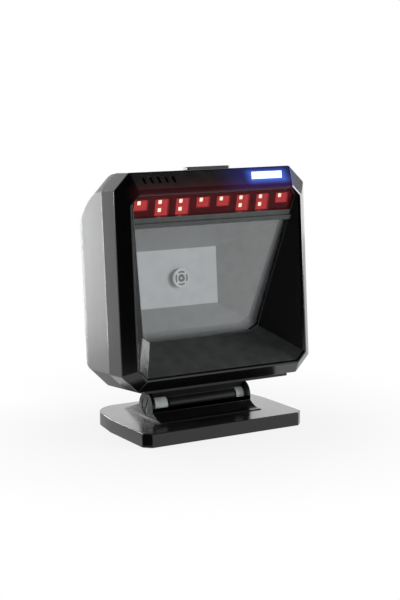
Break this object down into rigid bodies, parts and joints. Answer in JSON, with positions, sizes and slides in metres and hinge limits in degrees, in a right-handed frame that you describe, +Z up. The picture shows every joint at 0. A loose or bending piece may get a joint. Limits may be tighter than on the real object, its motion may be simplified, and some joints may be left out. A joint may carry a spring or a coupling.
{
  "type": "hands-free barcode scanner",
  "caption": "Presentation barcode scanner: an octagonal head with a deep scan recess, lamps and a camera, tilting on a hinge over a weighted foot.",
  "frame": {"origin": "centre of the footprint, on the surface that the scanner stands on", "axes": "+Z up, -Y towards the goods in front of the scan recess, +X to the right of the front view"},
  "size_m": [0.1546, 0.09, 0.1887],
  "materials": {
    "pad_rubber": "matt ribbed rubber",
    "bottom_plastic": "moulded, matt",
    "ballast_iron": "bare plate",
    "foot_plastic": "moulded, gloss top",
    "screw_steel": "zinc plated",
    "saddle_plastic": "moulded, gloss",
    "pin_steel": "ground",
    "sleeve_plastic": "moulded, gloss",
    "spring_steel": "oiled",
    "cap_plastic": "moulded, satin",
    "neck_plastic": "moulded, satin",
    "housing_plastic": "moulded, fine texture",
    "bezel_plastic": "moulded, satin gloss",
    "panel_plastic": "gloss inlay",
    "indicator_plastic": "frosted, lit",
    "led_plastic": "clear epoxy",
    "board_laminate": "solder mask",
    "speaker_plastic": "moulded",
    "hood_plastic": "moulded, satin",
    "gasket_rubber": "foam strip",
    "window_glass": "clear float glass",
    "lamp_filter": "tinted acrylic",
    "reflector_plastic": "moulded",
    "lamp_plastic": "lit",
    "chamber_plastic": "moulded, matt",
    "plate_plastic": "moulded, matt",
    "ring_plastic": "moulded, satin",
    "barrel_plastic": "moulded, matt",
    "lens_glass": "coated lens",
    "sensor_plastic": "sealed package",
    "chip_plastic": "moulded package",
    "socket_plastic": "moulded",
    "contact_brass": "plated",
    "ribbon_socket_plastic": "moulded",
    "ribbon_plastic": "flat film",
    "switch_plastic": "moulded",
    "button_plastic": "moulded, satin",
    "plunger_plastic": "moulded"
  },
  "bodies": {
    "base": {"anti_slip_pad": "pad_rubber", "base_bottom": "bottom_plastic", "base_weight": "ballast_iron", "base_cover": "foot_plastic", "base_screws": "screw_steel", "hinge_saddle": "saddle_plastic", "saddle_screws": "screw_steel", "hinge_pin": "pin_steel", "hinge_sleeves": "sleeve_plastic", "hinge_washers": "spring_steel", "hinge_end_caps": "cap_plastic"},
    "head": {"neck": "neck_plastic", "neck_screws": "screw_steel", "rear_housing": "housing_plastic", "housing_screws": "screw_steel", "front_bezel": "bezel_plastic", "control_panel": "panel_plastic", "indicator_lens": "indicator_plastic", "indicator_leds": "led_plastic", "indicator_board": "board_laminate", "speaker": "speaker_plastic", "recess_hood": "hood_plastic", "window_gasket": "gasket_rubber", "scan_window": "window_glass", "lamp_window": "lamp_filter", "lamp_reflector": "reflector_plastic", "lamps": "lamp_plastic", "lamp_board": "board_laminate", "camera_chamber": "chamber_plastic", "camera_plate": "plate_plastic", "lens_ring": "ring_plastic", "lens_barrel": "barrel_plastic", "lens_glass": "lens_glass", "lens_holder": "barrel_plastic", "image_sensor": "sensor_plastic", "camera_board": "board_laminate", "camera_screws": "screw_steel", "main_board": "board_laminate", "board_chips": "chip_plastic", "board_screws": "screw_steel", "cable_socket": "socket_plastic", "socket_contacts": "contact_brass", "ribbon_socket": "ribbon_socket_plastic", "camera_ribbon": "ribbon_plastic", "button_board": "board_laminate", "button_board_screws": "screw_steel", "tact_switches": "switch_plastic"},
    "button": {"trigger_button": "button_plastic", "switch_plungers": "plunger_plastic"}
  },
  "joints": [
    {"name": "head_tilt", "type": "hinge", "parent": "base", "child": "head", "pos_m": [0, -0.001, 0.0183], "axis": [-1, 0, 0], "range_deg": [-25, 30]},
    {"name": "trigger_press", "type": "slide", "parent": "head", "child": "button", "axis": [0, -0.0767, -0.9971], "range_m": [0, 0.0008], "stiffness_N_per_m": 1500, "springref_m": -0.0003}
  ]
}
